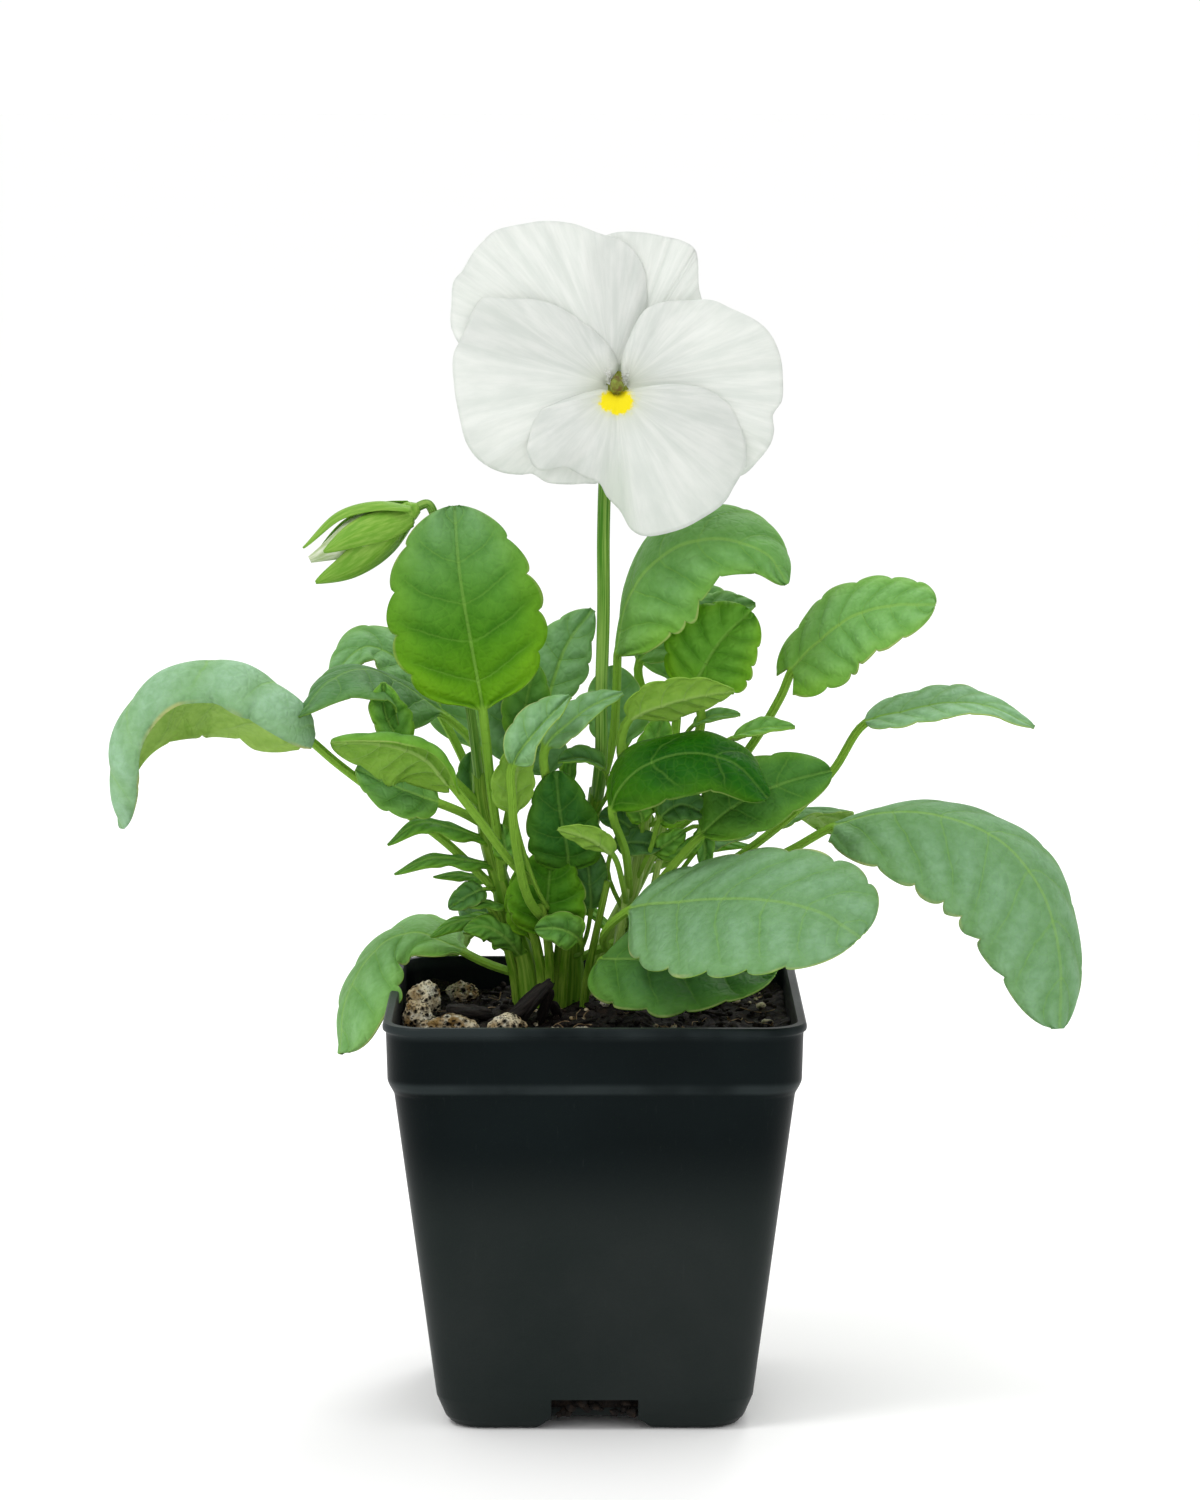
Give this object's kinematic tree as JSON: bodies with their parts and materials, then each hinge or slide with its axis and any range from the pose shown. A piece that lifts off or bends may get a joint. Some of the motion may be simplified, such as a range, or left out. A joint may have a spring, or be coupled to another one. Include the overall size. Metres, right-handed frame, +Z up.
{
  "type": "potted pansy planter",
  "caption": "Pansy plant with a large white bloom, a nodding bud and arching toothed leaves, rooted in a square tapered nursery pot filled with bark mix.",
  "frame": {"origin": "on the surface that the pot stands on, below the middle of the pot", "axes": "+Z up; -Y is the side that the bloom faces, so +X is to the right seen from there"},
  "size_m": [0.2242, 0.118, 0.275],
  "materials": {
    "pot": "black plastic with a soft sheen",
    "soil": "moist bark and peat mix, rough",
    "pumice": "rough porous stone",
    "bark": "rough dark bark",
    "leaf": "living leaf, satin, veined",
    "stalk": "living stalk, satin",
    "petal": "thin soft petal, matte",
    "pistil": "living tissue, satin"
  },
  "bodies": {
    "root": {"pot": "pot", "soil": "soil", "pumice_left_rear": "pumice", "pumice_left": "pumice", "pumice_rear": "pumice", "pumice_front_left": "pumice", "pumice_front": "pumice", "grit_front": "pumice", "grit_right": "pumice", "bark_leaning": "bark", "bark_left": "bark", "bark_right": "bark", "leafy_stem_left": "leaf", "leafy_stem_middle": "leaf", "leafy_stem_right": "leaf", "leafy_stem_back": "leaf", "flower_stalk": "stalk", "bloom_petals": "petal", "pistil": "pistil", "bud_stalk": "stalk", "bud_petals": "petal"}
  },
  "joints": []
}
